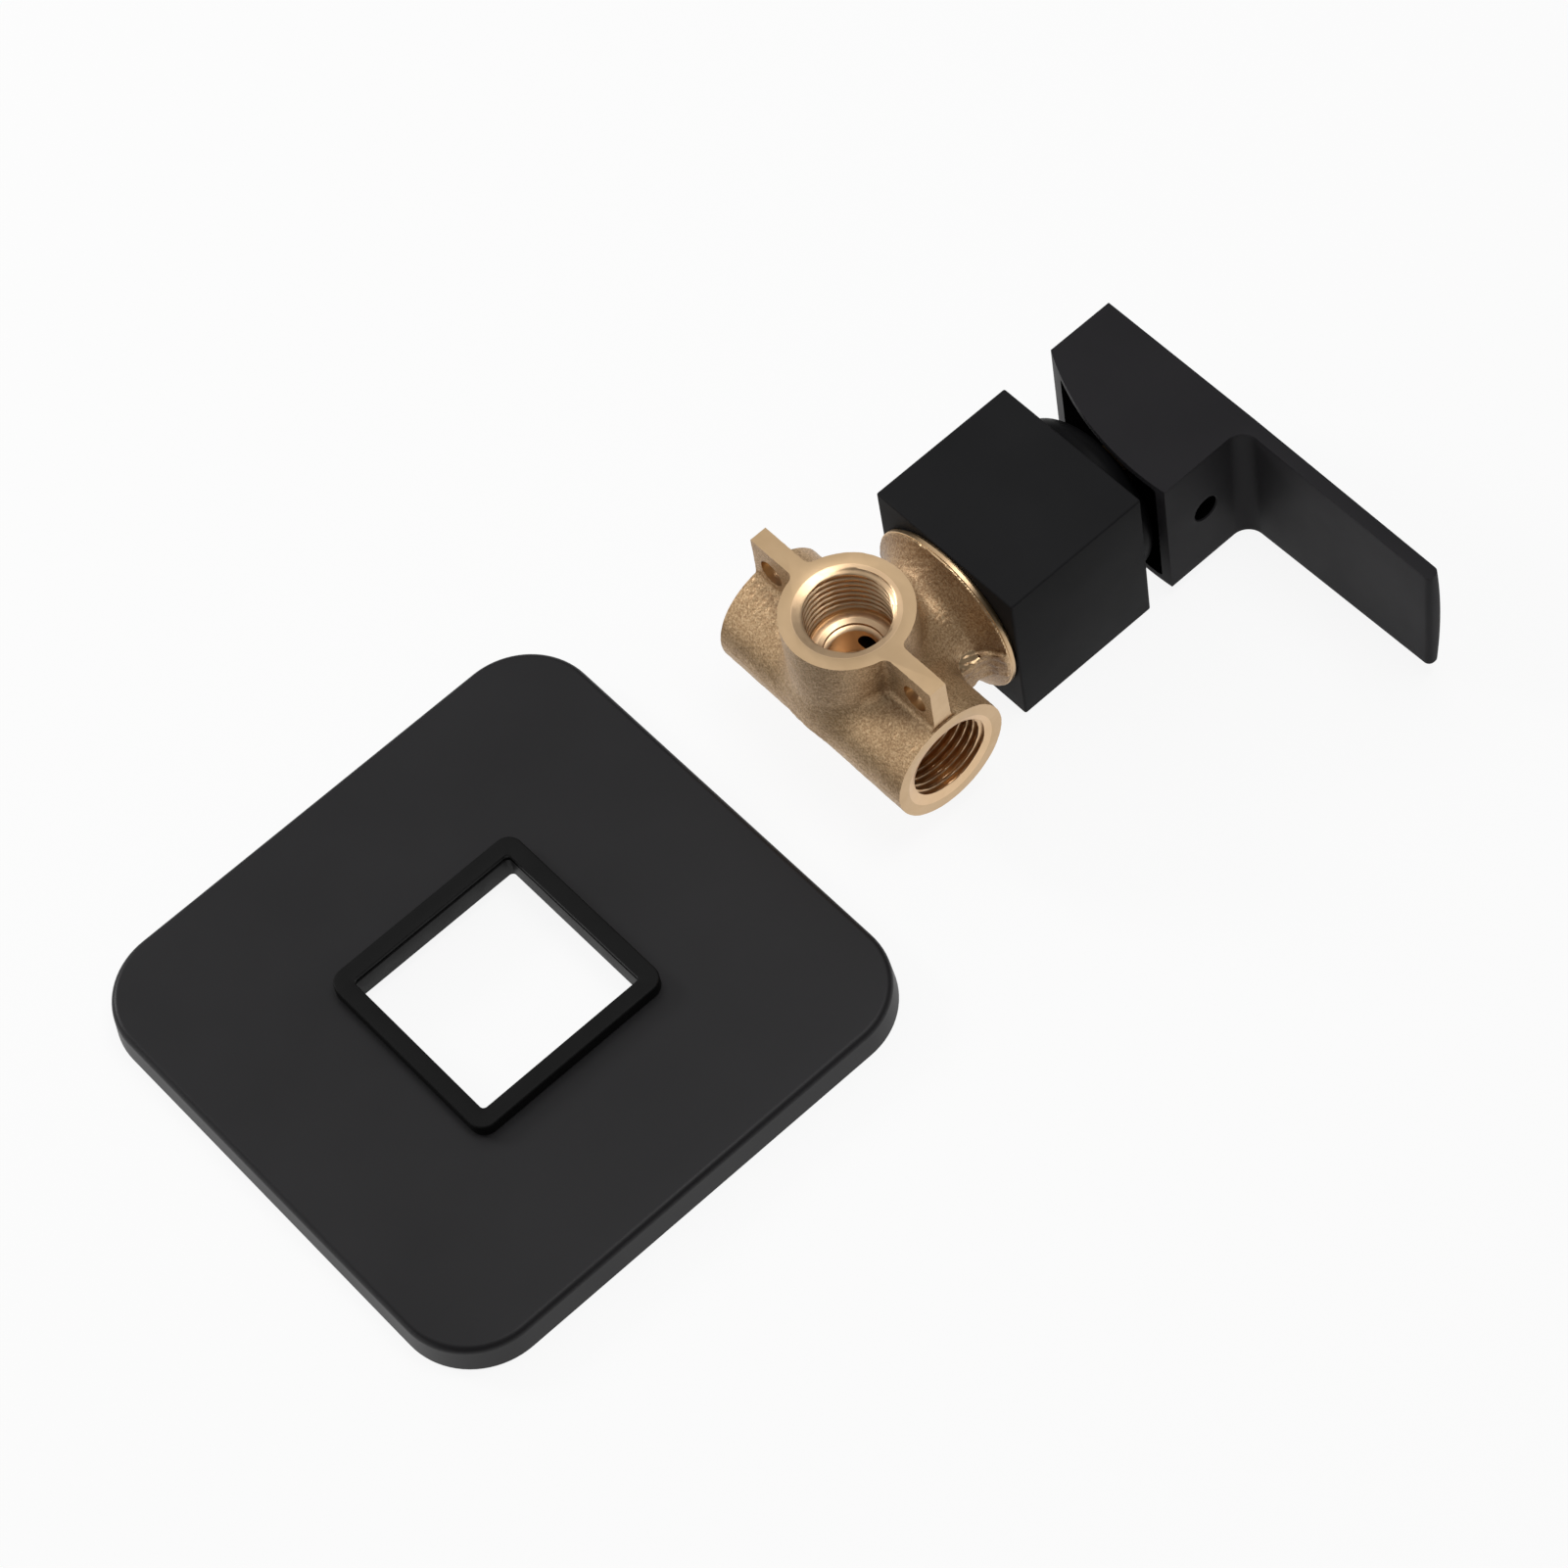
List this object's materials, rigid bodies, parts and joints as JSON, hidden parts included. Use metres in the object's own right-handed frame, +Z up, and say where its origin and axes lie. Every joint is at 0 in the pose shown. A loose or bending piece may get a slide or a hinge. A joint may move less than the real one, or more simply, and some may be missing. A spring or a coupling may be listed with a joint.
{
  "type": "concealed shower mixer trim kit",
  "caption": "Matt black single-lever shower mixer with square sleeve and lever handle on a cast brass valve, and a round-cornered cover plate with a rubber collar.",
  "frame": {"origin": "centre of the whole kit's box, on the surface that the kit lies on", "axes": "+Y along the cartridge axis towards the handle, +X towards the lever's tip, +Z up out of the outlet; the cover plate lies at -Y of the valve with its back on the surface"},
  "size_m": [0.1438, 0.2552, 0.0472],
  "materials": {
    "cast_brass": "sand-cast brass with fine grain, ports turned bright",
    "brass": "turned brass",
    "black_coat": "satin black powder coat",
    "collar_rubber": "matt black moulded rubber",
    "seal_rubber": "black sealing rubber",
    "grey_plastic": "moulded grey plastic",
    "white_plastic": "moulded white plastic",
    "white_ceramic": "lapped white ceramic",
    "grey_ceramic": "lapped grey ceramic",
    "steel": "stainless steel"
  },
  "bodies": {
    "valve": {"valve_body": "cast_brass", "sleeve_o_ring": "seal_rubber", "cartridge_base": "grey_plastic", "port_seals": "seal_rubber", "disc_seals": "seal_rubber", "fixed_disc": "white_ceramic", "cartridge_housing": "grey_plastic", "thrust_ring": "white_plastic", "retaining_nut": "brass", "dome_cap": "black_coat", "square_sleeve": "black_coat"},
    "spindle": {"spindle_guide": "white_plastic", "pivot_pin": "steel"},
    "disc": {"moving_disc": "grey_ceramic", "disc_carrier": "white_plastic"},
    "lever": {"lever_stem": "brass", "handle": "black_coat", "grub_screw": "steel"},
    "plate": {"cover_plate": "black_coat", "plate_collar": "collar_rubber"}
  },
  "joints": [
    {"name": "temperature_turn", "type": "hinge", "parent": "valve", "child": "spindle", "pos_m": [-0.00285, 0.08295, 0.0205], "axis": [0, 1, 0], "range_deg": [-50, 50]},
    {"name": "flow_tilt", "type": "hinge", "parent": "spindle", "child": "lever", "pos_m": [-0.00285, 0.08295, 0.0205], "axis": [0, 0, 1], "range_deg": [0, 25]},
    {"name": "disc_slide", "type": "slide", "parent": "spindle", "child": "disc", "axis": [1, 0, 0], "range_m": [0, 0.0034]},
    {"name": "plate_lift", "type": "slide", "parent": "valve", "child": "plate", "axis": [0, 0, 1], "range_m": [0, 0.08]}
  ],
  "couplings": [
    {"joint": "disc_slide", "follows": "flow_tilt", "m_per_rad": 0.00736}
  ]
}
